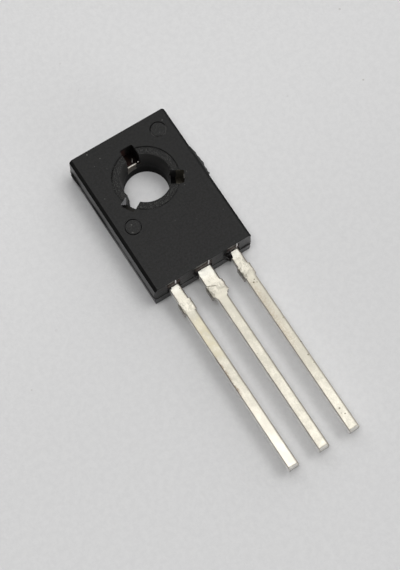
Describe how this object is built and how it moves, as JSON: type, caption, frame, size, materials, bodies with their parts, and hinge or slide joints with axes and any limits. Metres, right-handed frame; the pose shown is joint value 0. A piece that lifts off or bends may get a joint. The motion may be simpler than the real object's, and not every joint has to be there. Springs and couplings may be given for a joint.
{
  "type": "power transistor",
  "caption": "Fully moulded power transistor lying on its back, with a screw hole, hole notches and flat tinned leads on a fixed pitch.",
  "frame": {"origin": "axis of the screw hole, at the back face of the moulding", "axes": "+Z out of the front face, +X across the leads, the leads point along -Y"},
  "size_m": [0.0079, 0.0251, 0.0026],
  "materials": {
    "moulding": "black epoxy moulding compound, fine matt texture",
    "tinned_copper": "copper leadframe with a warm dull tin plating",
    "silicon": "polished silicon",
    "solder": "dull solder",
    "bond_wire": "bare drawn aluminium"
  },
  "bodies": {
    "root": {"body": "moulding", "collector_lead": "tinned_copper", "emitter_lead": "tinned_copper", "base_lead": "tinned_copper", "silicon_die": "silicon", "die_solder": "solder", "emitter_wire": "bond_wire", "base_wire": "bond_wire"}
  },
  "joints": []
}
